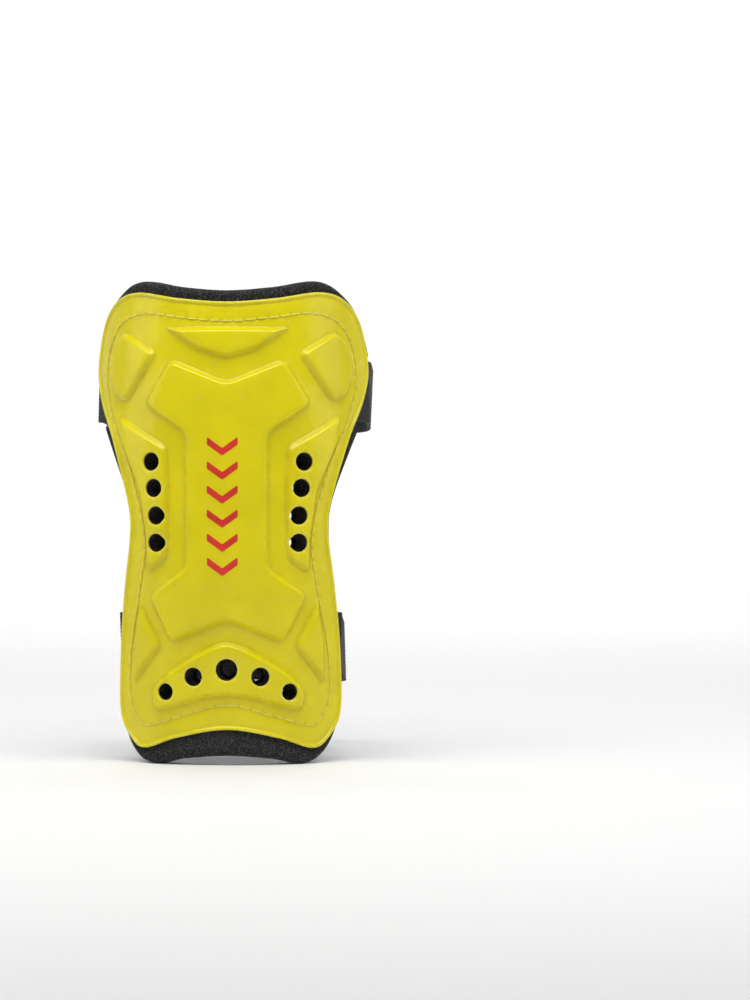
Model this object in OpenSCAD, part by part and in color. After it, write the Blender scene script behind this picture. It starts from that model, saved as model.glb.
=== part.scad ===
// Shin guard: a moulded shell on a foam pad, held on the leg by two elastic straps.
// It stands as worn: +Z runs up the shin, -Y is the front and +X is the wearer's left.
// The origin is on the leg's axis, midway between the two straps.

/* [Shell] */
// Radius of the shell's outer face at its fullest height
shell_r = 61; // [60:0.5:62]
// Thickness of the moulded sheet
shell_t = 1.2; // [0.8:0.1:1.5]
// Radius of the lengthwise bow
bow_r = 1000; // [900:50:1200]
// Radius of the outward flare at the ankle end
flare_r = 400; // [350:10:500]
// Height at which the flare starts
flare_z = -50; // [-52:1:-48]

/* [Panels] */
// Height of the raised panels above the shell
panel_h = 2; // [1:0.1:2.2]
// Width of the sloping side of each panel
bevel = 1.6; // [1:0.1:2]
// Largest corner radius of a panel
panel_corner = 3; // [2:0.5:3.5]

/* [Vents] */
// Radius of the vent holes down each side
side_vent_r = 3.6; // [3:0.1:3.8]
// Radius of the middle vent hole
middle_vent_r = 4.3; // [3.5:0.1:4.5]

/* [Pad] */
// Thickness of the foam
foam_t = 8; // [6:0.5:9]
// Thickness of the knitted lining
lining_t = 1; // [0.6:0.1:1.2]

/* [Stitching] */
// Distance from one stitch round the edge to the next
stitch_pitch = 4.9; // [4:0.1:6]
// Length of one stitch
stitch_l = 3.5; // [2.5:0.1:3.8]
// Thickness of the thread
thread_d = 0.6; // [0.4:0.1:0.8]

/* [Straps] */
// Width of the elastic straps
strap_w = 25; // [20:1:26]
// Thickness of the elastic
strap_t = 1.6; // [1.2:0.1:1.8]
// Height of each strap's middle above and below the origin
strap_z = 50.5; // [48:0.5:51]
// Thickness of the hook tape and of the loop tape
tape_t = 1.2; // [1:0.1:1.4]
// Distance of the back of the upper loop behind the leg's axis
upper_back_y = 46; // [44:1:50]
// Distance of the back of the lower loop behind the leg's axis
lower_back_y = 36; // [34:1:40]
// How far the upper loop hangs down at the back
upper_drop = 3; // [0:1:5]
// How far the lower loop hangs down at the back
lower_drop = 7; // [0:1:8]

/* [Hidden] */

// Heights and distances are millimetres. A place on the sheet is [s, z]: s is the distance
// round the shell from its middle line, measured at shell_r, and z is the height.
bow_z = 10;                                   // height of the fullest section
bow_centre = [shell_r - bow_r, bow_z];
flare_angle = asin((bow_z - flare_z) / bow_r);
flare_centre = bow_centre + (bow_r + flare_r) * [cos(flare_angle), -sin(flare_angle)];
near_r = 25;                                  // inner and outer reach about the leg's axis
far_r = 130;
sheet_cuts = [-36, -12, 3, 69];               // distances from the shell's face of a cutter's rings
reach_z = 120;

// Half outlines from the top of the middle line, down the side, to its bottom
shell_half = [
    [0, 84.5], [20, 86], [41, 89], [55, 86.2], [65, 76.8], [69.6, 60], [64.6, 46.8], [54, 30.6], [44.3, 7],
    [42.8, -7], [46.8, -29.2], [51, -55], [51.6, -77], [44, -88], [36, -91.2], [21, -86.8], [0, -83.4]
];
foam_half = [
    [0, 89.2], [20, 90.7], [41, 93.6], [55, 89.5], [67, 80], [74, 62], [69, 44.5], [57, 26.5], [46.6, 6],
    [45.2, -8], [48.6, -29], [52, -55], [52.8, -78], [46, -91], [34, -97.3], [18, -95], [0, -93.8]
];
seam_half = [
    [0, 76.9], [18, 78.3], [36, 80.5], [50, 77.4], [58, 68], [60, 55], [54, 39], [42.4, 18.5],
    [35, -8], [38, -29], [44.2, -54], [45.1, -71], [40, -80.3], [33.5, -82], [18, -77.8], [0, -73.7]
];
curve_steps = 3;
corner_steps = 3;

// Raised panels
top_panel = [[-26.5, 74.5], [-11, 65.4], [0, 62.4], [11, 65.4], [26.5, 74.5]];
corner_panel = [[47, 74], [29.6, 64.6], [44.4, 45.3], [53, 48.3], [57.8, 60.3], [55, 69.3]];
side_panel = [[49, 41], [24.2, 27.8], [23.6, 5], [24.4, -17], [34, -22.2], [34.3, -8], [37.4, 10.5], [47.3, 29.5]];
low_panel = [[38.2, -33.4], [27.7, -50.9], [42.2, -66.2], [41.8, -50]];
main_half = [[23.4, 62.4], [35.2, 44.4], [16.6, 32.8], [16.6, -20], [33.4, -30.6], [23.4, -49.6]];
bottom_half = [[8, -51.2], [24, -60], [33.6, -67.9], [32, -76.8], [21, -74.5], [10, -71.2]];

// Vent holes: [s, z, radius]
side_vents = [[30.8, 21.8, side_vent_r], [29.6, 11.4, side_vent_r], [28.6, 0.6, side_vent_r],
    [28.6, -10.1, side_vent_r]];
low_vents = [[13.5, -62.6, 3.65], [25.6, -68.7, 3.3]];
middle_vent = [0, -59.8, middle_vent_r];

// Printed marks
mark_count = 6;
mark_pitch = 9.4;
mark_top_z = 29.9;
mark_s = -1.4;
mark_half_w = 5.9;
mark_drop = 4.4;
mark_stroke = 3;
ink_t = 0.15;

// Straps
foam_gap = 0.9;                               // depth of foam cleared under a sewn-in strap end
hinge_gap = 0.5;                              // break between a piece's sewn end and its moving part
layer_gap = 0.3;                              // between the hook tape and the loop tape
play = 0.05;                                  // between layers that lie on each other
lining_inset = 0.8;
seat_margin = 0.4;                            // beyond each edge of a strap's sewn-in end
seat_start = 1;
seat_run = 15;
back_steps = 24;
tape_steps = 16;
back_r = 150;                                 // curve of the loops across the back
patch_x = [-24, 27];
short_end_x = -26;
long_end_x = 10.6;
root_x = [10, 22];
tab_x = [-9, 24];
patch_layer = (strap_t + tape_t) / 2 + play;
tab_layer = patch_layer + layer_gap + tape_t;
long_layer = tab_layer + (tape_t + strap_t) / 2 + play;
tape_stitch = 2;
tape_pitch = 3;
tape_margin = 2;

// Each loop: [middle height, s of the hinge line, s of the sewn-in end, bend radius, corner radius, back,
// drop at the back]
upper_loop = [strap_z, 72.3, 53, 16, 26, upper_back_y, upper_drop];
lower_loop = [-strap_z, 52, 37, 6, 20, lower_back_y, lower_drop];
sag_start = 3;                                // level run behind the hinge line
sag_end = 6;                                  // depth of the level back

$fn = 48;

function turn(s) = s / shell_r * 180 / PI;
// Radius of the shell's outer face at height z
function face_r(z) = z > flare_z
    ? bow_centre[0] + sqrt(pow(bow_r, 2) - pow(z - bow_centre[1], 2))
    : flare_centre[0] - sqrt(pow(flare_r, 2) - pow(z - flare_centre[1], 2));
function place(s, z, r) = [r * sin(turn(s)), -r * cos(turn(s)), z];

// A closed outline, counter-clockwise seen from outside, from a half outline on the right side
function back_up(half) = [for (i = [len(half) - 2:-1:1]) half[i]];
function down_left(half) = [for (i = [0:len(half) - 1]) [-half[i][0], half[i][1]]];
function loop_of(half) = concat(down_left(half), back_up(half));

// A smooth closed curve through the given points
function spline(a, b, c, d, t) = 0.5 * ((2 * b) + (c - a) * t + (2 * a - 5 * b + 4 * c - d) * t * t
    + (3 * b - a - 3 * c + d) * t * t * t);
function smooth(points, steps) = let (n = len(points)) [
    for (i = [0:n - 1], k = [0:steps - 1])
        spline(points[(i + n - 1) % n], points[i], points[(i + 1) % n], points[(i + 2) % n], k / steps)
];

function unit(v) = v / norm(v);
function inward(a, b) = let (d = unit(b - a)) [-d[1], d[0]];
// A counter-clockwise outline moved in by d
function inset(points, d) = let (n = len(points)) [
    for (i = [0:n - 1])
        let (m = inward(points[(i + n - 1) % n], points[i]), k = inward(points[i], points[(i + 1) % n]))
            points[i] + d * (m + k) / (1 + m * k)
];
// One rounded corner at b, as a short curve that stays within both edges. r is the radius of a square
// corner: a sharper one is tighter, and a blunter one is fuller.
function corner(a, b, c, r) = let (
    u = unit(a - b), v = unit(c - b), half = acos(u * v) / 2,
    cut = min(r * pow(half / 45, 2) / tan(half), 0.46 * norm(a - b), 0.46 * norm(c - b))
) [for (k = [0:corner_steps]) let (t = k / corner_steps)
    pow(1 - t, 2) * (b + cut * u) + 2 * t * (1 - t) * b + pow(t, 2) * (b + cut * v)];
function rounded(points, r) = let (n = len(points)) [
    for (i = [0:n - 1]) each corner(points[(i + n - 1) % n], points[i], points[(i + 1) % n], r)
];
function centroid(points) = [for (k = [0, 1]) let (c = [for (p = points) p[k]])
    (c * [for (p = points) 1]) / len(points)];

// A sheet that follows the shell, between two distances out from the shell's outer face
module sheet(inner, outer) {
    joint_z = function(x) bow_centre[1] - (x - bow_centre[0]) * tan(flare_angle);
    rotate_extrude($fn = 180) {
        intersection() {
            translate(bow_centre) difference() {
                circle(bow_r + outer, $fn = 1440);
                circle(bow_r + inner, $fn = 1440);
            }
            polygon([[near_r, joint_z(near_r)], [far_r, joint_z(far_r)], [far_r, reach_z], [near_r, reach_z]]);
        }
        intersection() {
            translate(flare_centre) difference() {
                circle(flare_r - inner, $fn = 1440);
                circle(flare_r - outer, $fn = 1440);
            }
            polygon([[near_r, joint_z(near_r)], [near_r, -reach_z], [far_r, -reach_z], [far_r, joint_z(far_r)]]);
        }
    }
}

// A block with radial walls, built up from rings. Each ring is an outline and its distance out from the
// shell's face. hubs are two points that between them see every edge of the outline, and the height at
// which the first gives way to the second.
module cutter(rings, hubs) {
    n = len(rings[0][0]);
    levels = len(rings);
    hub_of = [for (i = [0:n - 1]) (rings[0][0][i] + rings[0][0][(i + 1) % n])[1] / 2 >= hubs[2] ? 0 : 1];
    points = concat(
        [for (ring = rings, p = ring[0]) place(p[0], p[1], face_r(p[1]) + ring[1])],
        [for (out = [rings[0][1], rings[levels - 1][1]], k = [0, 1])
            place(hubs[k][0], hubs[k][1], face_r(hubs[k][1]) + out)]
    );
    top = n * (levels - 1);
    foot_hub = n * levels;
    head_hub = foot_hub + 2;
    walls = [for (k = [0:levels - 2], i = [0:n - 1]) let (j = (i + 1) % n, a = k * n, b = a + n)
        each [[a + i, b + i, b + j], [a + i, b + j, a + j]]];
    caps = [for (i = [0:n - 1]) let (j = (i + 1) % n, h = hub_of[i])
        each [[i, j, foot_hub + h], [top + j, top + i, head_hub + h]]];
    joins = [for (i = [0:n - 1]) let (g = hub_of[(i + n - 1) % n], h = hub_of[i])
        if (g != h) each [[i, foot_hub + h, foot_hub + g], [top + i, head_hub + g, head_hub + h]]];
    polyhedron(points, concat(walls, caps, joins));
}

module plain_cutter(outline) {
    cutter([for (out = sheet_cuts) [outline, out]], [[0, 0], [0, 0], -reach_z]);
}

module panel(outline, inner, outer, shrink = 0, hubs = undef) {
    c = centroid(outline);
    cuts = [inner - 1, outer + 1];
    intersection() {
        sheet(inner, outer);
        cutter([for (out = cuts) [rounded(inset(outline, shrink + out * bevel / panel_h), panel_corner), out]],
            hubs == undef ? [c, c, -reach_z] : hubs);
    }
}

module all_panels(inner, outer, shrink = 0) {
    panel(top_panel, inner, outer, shrink);
    panel(loop_of(concat([[0, 53.1]], main_half, [[0, -40.8]])), inner, outer, shrink,
        [[0, 40], [0, -30], 0]);
    panel(loop_of(concat([[0, -48.5]], bottom_half, [[0, -70.1]])), inner, outer, shrink);
    for (side = [0, 1]) mirror([side, 0, 0]) {
        panel(corner_panel, inner, outer, shrink);
        panel(side_panel, inner, outer, shrink);
        panel(low_panel, inner, outer, shrink);
    }
}

module vent(v) {
    rotate([0, 0, turn(v[0])]) translate([0, -near_r, v[1]]) rotate([90, 0, 0]) cylinder(r = v[2], h = 60);
}

module vents() {
    vent(middle_vent);
    for (side = [0, 1]) mirror([side, 0, 0])
        for (v = concat(side_vents, low_vents)) vent(v);
}

module hard_shell() {
    color("gold") difference() {
        union() {
            intersection() {
                sheet(-shell_t, 0);
                plain_cutter(smooth(loop_of(shell_half), curve_steps));
            }
            all_panels(-shell_t / 2, panel_h);
        }
        all_panels(-2 * shell_t, panel_h - shell_t, shell_t);
        vents();
    }
}

module foam_pad() {
    color("dimgray") difference() {
        intersection() {
            sheet(-shell_t - foam_t, -shell_t - play);
            plain_cutter(smooth(loop_of(foam_half), curve_steps));
        }
        for (loop = [upper_loop, lower_loop], side = [0, 1]) mirror([side, 0, 0])
            strap_seat(loop);
        vents();
    }
}

module lining() {
    color("black") difference() {
        intersection() {
            sheet(-shell_t - foam_t - lining_t, -shell_t - foam_t);
            plain_cutter(inset(smooth(loop_of(foam_half), curve_steps), lining_inset));
        }
        vents();
    }
}

// A wedge about the leg's axis, between two distances round the shell
module wedge(s0, s1, height) {
    linear_extrude(height, center = true) polygon([
        [0, 0], far_r * [sin(turn(s0)), -cos(turn(s0))], far_r * [sin(turn(s1)), -cos(turn(s1))]
    ]);
}

module strap_seat(loop) {
    intersection() {
        sheet(-shell_t - strap_t - foam_gap, 1);
        translate([0, 0, loop[0]]) wedge(loop[2] - seat_start, loop[1] + seat_run, strap_w + 2 * seat_margin);
    }
}

module strap_end(loop) {
    color("black") intersection() {
        sheet(-shell_t - strap_t, -shell_t - play);
        translate([0, 0, loop[0]]) wedge(loop[2], loop[1] - hinge_gap / 2, strap_w);
    }
}

module rod(a, b, d) {
    v = b - a;
    translate(a) rotate([0, acos(v[2] / norm(v)), atan2(v[1], v[0])]) cylinder(d = d, h = norm(v), $fn = 16);
}

module edge_stitching() {
    path = smooth(loop_of(seam_half), 10);
    n = len(path);
    steps = [for (i = [0:n - 1]) norm(path[(i + 1) % n] - path[i])];
    along = [for (i = 0, d = 0; i <= n; d = d + steps[i % n], i = i + 1) d];
    ss = [for (i = [0:n]) [along[i], path[i % n][0]]];
    zs = [for (i = [0:n]) [along[i], path[i % n][1]]];
    count = round(along[n] / stitch_pitch);
    thread = function(d) let (z = lookup(d, zs)) place(lookup(d, ss), z, face_r(z) + thread_d / 2);
    color("khaki") for (k = [0:count - 1])
        let (d = k * along[n] / count) rod(thread(d), thread(d + stitch_l), thread_d);
}

module front_print() {
    color("firebrick") for (k = [0:mark_count - 1])
        let (z = mark_top_z - k * mark_pitch, tip = [mark_s, z - mark_drop], low = [0, mark_stroke]) intersection() {
            sheet(panel_h, panel_h + ink_t);
            mark_cutter([
                tip - low / 2, [mark_s + mark_half_w, z - mark_stroke / 2],
                [mark_s + mark_half_w, z + mark_stroke / 2], tip + low / 2,
                [mark_s - mark_half_w, z + mark_stroke / 2], [mark_s - mark_half_w, z - mark_stroke / 2]
            ], tip);
        }
}

module mark_cutter(outline, hub) {
    cutter([for (out = [-1, panel_h + 2]) [outline, out]], [hub, hub, -reach_z]);
}

function arc(c, r, a0, a1, n) = [for (i = [0:n]) let (a = a0 + (a1 - a0) * i / n) c + r * [cos(a), sin(a)]];
function strap_r(loop) = face_r(loop[0]) - shell_t - strap_t / 2;
function side_x(loop) = strap_r(loop) * sin(turn(loop[1])) + loop[3] * (1 - sin(turn(loop[1])));
// The face of a strap at a distance out from its middle, from the hinge line to the back
function strap_face(loop, layer, out, end_x) = let (
    h = turn(loop[1] + hinge_gap / 2),
    bend = (strap_r(loop) - loop[3]) * [sin(turn(loop[1])), -cos(turn(loop[1]))],
    tilt = asin((side_x(loop) - loop[4]) / (back_r + layer - loop[4])),
    back = [0, loop[5] - back_r],
    elbow = back + (back_r + layer - loop[4]) * [sin(tilt), cos(tilt)]
) concat(
    arc(bend, loop[3] + out, h - 90, 0, 6),
    arc(elbow, loop[4] + out, 0, 90 - tilt, 12),
    arc(back, back_r + layer + out, 90 - tilt, acos(end_x / (back_r + layer)), back_steps)
);
function band(outer, inner) = concat(outer, [for (i = [len(inner) - 1:-1:0]) inner[i]]);

// How far a loop hangs below its hinges at a distance y back
function sag(loop, y) = let (
    start = sag_start - strap_r(loop) * cos(turn(loop[1])),
    t = max(0, min(1, (y - start) / (loop[5] - sag_end - start)))
) loop[6] * t * t * (3 - 2 * t);
function back_z(loop) = loop[0] - loop[6];
function two(a, b, c, d) = [[a, b, c], [a, c, d]];

module strap(loop, layer, end_x) {
    outer = strap_face(loop, layer, strap_t / 2, end_x);
    inner = strap_face(loop, layer, -strap_t / 2, end_x);
    n = len(outer);
    last = n - 1;
    z = [for (i = [0:last]) loop[0] - sag(loop, (outer[i] + inner[i])[1] / 2)];
    // Four rows of points: outer top, outer foot, inner top, inner foot
    points = [for (face = [outer, inner], edge = [strap_w / 2, -strap_w / 2], i = [0:last])
        [face[i][0], face[i][1], z[i] + edge]];
    sides = [for (i = [0:last - 1], rows = [[0, n], [2 * n, 0], [n, 3 * n], [3 * n, 2 * n]])
        each two(rows[0] + i, rows[0] + i + 1, rows[1] + i + 1, rows[1] + i)];
    ends = concat(two(0, n, 3 * n, 2 * n), two(n + last, last, 2 * n + last, 3 * n + last));
    color("black") polyhedron(points, concat(sides, ends));
}

// A piece of tape that follows the back of a loop
module tape(loop, layer, x, shade) {
    back = [0, loop[5] - back_r];
    a0 = acos(x[1] / (back_r + layer));
    a1 = acos(x[0] / (back_r + layer));
    color(shade) translate([0, 0, back_z(loop)]) linear_extrude(strap_w, center = true)
        polygon(band(arc(back, back_r + layer + tape_t / 2, a0, a1, tape_steps),
            arc(back, back_r + layer - tape_t / 2, a0, a1, tape_steps)));
}

// A box of stitches on one face of a tape or strap across the back of a loop
module stitch_box(loop, r, x) {
    half_w = strap_w / 2 - tape_margin;
    row = [x[0] + tape_margin:tape_pitch:x[1] - tape_margin - tape_stitch];
    column = [-half_w:tape_pitch:half_w - tape_stitch];
    at = function(px, pz) [px, loop[5] - back_r + sqrt(pow(r, 2) - pow(px, 2)), back_z(loop) + pz];
    color("gray") {
        for (px = row, pz = [-half_w, half_w]) rod(at(px, pz), at(px + tape_stitch, pz), thread_d);
        for (pz = column, px = [x[0] + tape_margin / 2, x[1] - tape_margin / 2])
            rod(at(px, pz), at(px, pz + tape_stitch), thread_d);
    }
}

module long_strap_end(loop) { mirror([1, 0, 0]) strap_end(loop); }
module short_strap_end(loop) { strap_end(loop); }
module long_strap(loop) { mirror([1, 0, 0]) strap(loop, long_layer, long_end_x); }
module short_strap(loop) { strap(loop, 0, short_end_x); }
module tab_root(loop) { mirror([1, 0, 0]) tape(loop, tab_layer, root_x, "dimgray"); }
module hook_tab(loop) { tape(loop, tab_layer, tab_x, "dimgray"); }
module loop_patch(loop) { tape(loop, patch_layer, patch_x, "dimgray"); }
module tab_stitching(loop) {
    mirror([1, 0, 0]) stitch_box(loop, back_r + long_layer + (strap_t + thread_d) / 2 + play, [long_end_x, root_x[1]]);
}
module patch_stitching(loop) {
    stitch_box(loop, back_r - (strap_t + thread_d) / 2 - play, patch_x);
}

hard_shell();
foam_pad();
lining();
edge_stitching();
front_print();
long_strap_end(upper_loop);  // upper_long_strap_end
long_strap(upper_loop);  // upper_long_strap
tab_root(upper_loop);  // upper_tab_root
hook_tab(upper_loop);  // upper_hook_tab
tab_stitching(upper_loop);  // upper_tab_stitching
short_strap_end(upper_loop);  // upper_short_strap_end
short_strap(upper_loop);  // upper_short_strap
loop_patch(upper_loop);  // upper_loop_patch
patch_stitching(upper_loop);  // upper_patch_stitching
long_strap_end(lower_loop);  // lower_long_strap_end
long_strap(lower_loop);  // lower_long_strap
tab_root(lower_loop);  // lower_tab_root
hook_tab(lower_loop);  // lower_hook_tab
tab_stitching(lower_loop);  // lower_tab_stitching
short_strap_end(lower_loop);  // lower_short_strap_end
short_strap(lower_loop);  // lower_short_strap
loop_patch(lower_loop);  // lower_loop_patch
patch_stitching(lower_loop);  // lower_patch_stitching
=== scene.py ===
import math

import bmesh
import bpy
import numpy as np
from bpy.props import FloatProperty, FloatVectorProperty, PointerProperty
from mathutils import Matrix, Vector
from mathutils.geometry import delaunay_2d_cdt
from mathutils.kdtree import KDTree


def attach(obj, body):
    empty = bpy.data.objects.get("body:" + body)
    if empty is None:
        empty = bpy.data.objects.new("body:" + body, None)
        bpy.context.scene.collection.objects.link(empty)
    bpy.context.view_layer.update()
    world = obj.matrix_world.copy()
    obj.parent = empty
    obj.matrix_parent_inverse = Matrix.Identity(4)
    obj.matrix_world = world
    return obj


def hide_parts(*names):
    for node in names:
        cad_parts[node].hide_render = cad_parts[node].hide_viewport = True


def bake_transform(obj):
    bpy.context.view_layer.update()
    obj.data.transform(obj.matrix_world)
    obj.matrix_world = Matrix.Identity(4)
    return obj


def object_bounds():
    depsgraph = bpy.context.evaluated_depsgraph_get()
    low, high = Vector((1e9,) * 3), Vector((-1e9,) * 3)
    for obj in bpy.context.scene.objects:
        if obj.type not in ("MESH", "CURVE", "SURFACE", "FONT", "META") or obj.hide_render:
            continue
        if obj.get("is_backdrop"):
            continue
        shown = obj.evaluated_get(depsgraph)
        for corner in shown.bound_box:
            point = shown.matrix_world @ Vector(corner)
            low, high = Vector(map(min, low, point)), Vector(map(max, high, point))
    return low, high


bl_info = {
    "name": "Shin Guard",
    "version": (1, 0, 0),
    "blender": (4, 5, 0),
    "location": "3D View > Sidebar > Shin Guard",
    "description": "Makes a moulded shin guard with a foam pad and two elastic straps",
    "category": "Add Mesh",
}

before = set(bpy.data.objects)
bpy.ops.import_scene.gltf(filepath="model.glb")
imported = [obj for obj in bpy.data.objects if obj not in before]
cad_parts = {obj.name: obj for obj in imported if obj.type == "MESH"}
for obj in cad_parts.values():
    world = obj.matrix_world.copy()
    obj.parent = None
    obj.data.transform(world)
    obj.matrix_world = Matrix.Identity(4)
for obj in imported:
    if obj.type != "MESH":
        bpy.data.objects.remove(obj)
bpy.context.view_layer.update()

# Tables and helper functions work in millimetres; meshes are made in metres.
MM = 0.001

# ---------------------------------------------------------------------------
# The sheet that the shell, the pad and the lining follow

FACE_R = 61.0
BOW_R = 1000.0
BOW_Z = 10.0
FLARE_R = 400.0
FLARE_Z = -50.0
BOW_X = FACE_R - BOW_R
FLARE_ANGLE = math.asin((BOW_Z - FLARE_Z) / BOW_R)
FLARE_X = BOW_X + (BOW_R + FLARE_R) * math.cos(FLARE_ANGLE)
FLARE_MID_Z = BOW_Z - (BOW_R + FLARE_R) * math.sin(FLARE_ANGLE)

SHELL_T = 1.2
FOAM_T = 8.0
LINING_T = 1.0

SHELL_HALF = [
    (0, 84.5), (20, 86), (41, 89), (55, 86.2), (65, 76.8), (69.6, 60), (64.6, 46.8), (54, 30.6), (44.3, 7),
    (42.8, -7), (46.8, -29.2), (51, -55), (51.6, -77), (44, -88), (36, -91.2), (21, -86.8), (0, -83.4),
]
FOAM_HALF = [
    (0, 89.2), (20, 90.7), (41, 93.6), (55, 89.5), (67, 80), (74, 62), (69, 44.5), (57, 26.5), (46.6, 6),
    (45.2, -8), (48.6, -29), (52, -55), (52.8, -78), (46, -91), (34, -97.3), (18, -95), (0, -93.8),
]
SEAM_HALF = [
    (0, 76.9), (18, 78.3), (36, 80.5), (50, 77.4), (58, 68), (60, 55), (54, 39), (42.4, 18.5),
    (35, -8), (38, -29), (44.2, -54), (45.1, -71), (40, -80.3), (33.5, -82), (18, -77.8), (0, -73.7),
]

TOP_PANEL = [(-26.5, 74.5), (-11, 65.4), (0, 62.4), (11, 65.4), (26.5, 74.5)]
CORNER_PANEL = [(47, 74), (29.6, 64.6), (44.4, 45.3), (53, 48.3), (57.8, 60.3), (55, 69.3)]
SIDE_PANEL = [(49, 41), (24.2, 27.8), (23.6, 5), (24.4, -17),
              (34, -22.2), (34.3, -8), (37.4, 10.5), (47.3, 29.5)]
LOW_PANEL = [(38.2, -33.4), (27.7, -50.9), (42.2, -66.2), (41.8, -50)]
MAIN_HALF = [(0, 53.1), (23.4, 62.4), (35.2, 44.4), (16.6, 32.8), (16.6, -20),
             (33.4, -30.6), (23.4, -49.6), (0, -40.8)]
BOTTOM_HALF = [(0, -48.5), (8, -51.2), (24, -60), (33.6, -67.9),
               (32, -76.8), (21, -74.5), (10, -71.2), (0, -70.1)]

VENTS = [
    (30.8, 21.8, 3.6), (29.6, 11.4, 3.6), (28.6, 0.6, 3.6), (28.6, -10.1, 3.6),
    (13.5, -62.6, 3.65), (25.6, -68.7, 3.3),
]
MIDDLE_VENT = (0.0, -59.8, 4.3)

# ---------------------------------------------------------------------------
# The straps. drop is how far a loop hangs down at the back, lean how its sides follow the leg's taper,
# and slack how far the tension draws each side in.

STRAP_W = 25.0
STRAP_T = 1.6
TAPE_T = 1.2
LAYER_GAP = 0.3
BACK_R = 150.0
PLAY = 0.05
PATCH_LAYER = (STRAP_T + TAPE_T) / 2 + PLAY
TAB_LAYER = PATCH_LAYER + LAYER_GAP + TAPE_T
LONG_LAYER = TAB_LAYER + (TAPE_T + STRAP_T) / 2 + PLAY
LONG_END_X = 10.6
SHORT_END_X = -26.0
TAB_X = (-22.0, 24.0)
PATCH_X = (-24.0, 27.0)
LOOPS = {
    "upper": dict(z=50.5, hinge=72.3, sewn=53.0, bend=16.0, corner=26.0, back=46.0,
                  drop=3.0, lean=0.045, slack=0.9),
    "lower": dict(z=-50.5, hinge=52.0, sewn=37.0, bend=6.0, corner=20.0, back=36.0,
                  drop=7.0, lean=-0.03, slack=1.4),
}
SAG_START = 3.0
SAG_END = 6.0


def face_radius(z):
    z = np.asarray(z, float)
    bow = BOW_X + np.sqrt(BOW_R**2 - (z - BOW_Z) ** 2)
    flare = FLARE_X - np.sqrt(FLARE_R**2 - (z - FLARE_MID_Z) ** 2)
    return np.where(z > FLARE_Z, bow, flare)


def on_sheet(points, out):
    """Places [s, z] points at a distance out from the shell's face."""
    points = np.asarray(points, float)
    angle = points[:, 0] / FACE_R
    r = face_radius(points[:, 1]) + out
    return np.stack([r * np.sin(angle), -r * np.cos(angle), points[:, 1]], 1)


# ---------------------------------------------------------------------------
# Outlines in the flat sheet


def mirrored(half):
    """A closed outline, counter-clockwise, from its right half."""
    left = [(-s, z) for s, z in half]
    return np.array(left + [half[i] for i in range(len(half) - 2, 0, -1)], float)


def flipped(outline):
    return np.array([(-s, z) for s, z in reversed(outline)], float)


def smooth_curve(points, steps=14):
    n = len(points)
    t = np.arange(steps)[:, None] / steps
    rows = []
    for i in range(n):
        a, b, c, d = (points[(i + k) % n] for k in (-1, 0, 1, 2))
        rows.append(0.5 * (2 * b + (c - a) * t + (2 * a - 5 * b + 4 * c - d) * t**2
                           + (3 * b - a - 3 * c + d) * t**3))
    return np.concatenate(rows)


def even(points, pitch):
    """The same closed curve with evenly spaced points."""
    ring = np.vstack([points, points[:1]])
    along = np.concatenate([[0], np.cumsum(np.linalg.norm(np.diff(ring, axis=0), axis=1))])
    count = max(8, round(along[-1] / pitch))
    at = np.arange(count) * along[-1] / count
    return np.stack([np.interp(at, along, ring[:, k]) for k in (0, 1)], 1)


def moved_in(points, d):
    """A smooth closed outline, moved in by d."""
    run = np.roll(points, -1, 0) - np.roll(points, 1, 0)
    run /= np.linalg.norm(run, axis=1)[:, None]
    return points + d * np.stack([-run[:, 1], run[:, 0]], 1)


def rounded_outline(corners, radius, d, pitch):
    """A straight-sided outline moved in by d, with round corners that stay parallel as d grows.
    radius is a square corner's: a sharper corner is tighter, and a blunter one is fuller."""
    points = np.asarray(corners, float)
    n = len(points)
    unit = lambda v: v / np.linalg.norm(v)
    inset = []
    for i in range(n):
        a, b, c = points[i - 1], points[i], points[(i + 1) % n]
        m, k = (np.array([-v[1], v[0]]) for v in (unit(b - a), unit(c - b)))
        inset.append(b + d * (m + k) / (1 + m @ k))
    rows = []
    for i in range(n):
        a, b, c = inset[i - 1], inset[i], inset[(i + 1) % n]
        u, v = unit(a - b), unit(c - b)
        convex = (b - a)[0] * (c - b)[1] - (b - a)[1] * (c - b)[0] > 0
        half = math.acos(max(-1, min(1, u @ v))) / 2
        full = radius * (half / (math.pi / 4)) ** 2
        r = max(full - d, 0.3) if convex else full + d
        cut = min(r / math.tan(half), 0.47 * np.linalg.norm(a - b), 0.47 * np.linalg.norm(c - b))
        r = cut * math.tan(half)
        centre = b + unit(u + v) * math.hypot(cut, r)
        start, end = b + cut * u - centre, b + cut * v - centre
        sweep = math.atan2(start[0] * end[1] - start[1] * end[0], start @ end)
        steps = max(3, int(abs(sweep) * (radius + 1) / pitch))
        for k in range(steps + 1):
            t = sweep * k / steps
            rows.append(centre + np.array([
                start[0] * math.cos(t) - start[1] * math.sin(t),
                start[0] * math.sin(t) + start[1] * math.cos(t),
            ]))
    rows = np.array(rows)
    filled = []
    for i in range(len(rows)):
        a, b = rows[i], rows[(i + 1) % len(rows)]
        pieces = max(1, round(np.linalg.norm(b - a) / (1.6 * pitch)))
        filled += [a + (b - a) * k / pieces for k in range(pieces)]
    return np.array(filled)


def circle(s, z, r, count=28):
    angle = np.arange(count) * 2 * math.pi / count
    return np.stack([s + r * np.cos(angle), z + r * np.sin(angle)], 1)


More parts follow.
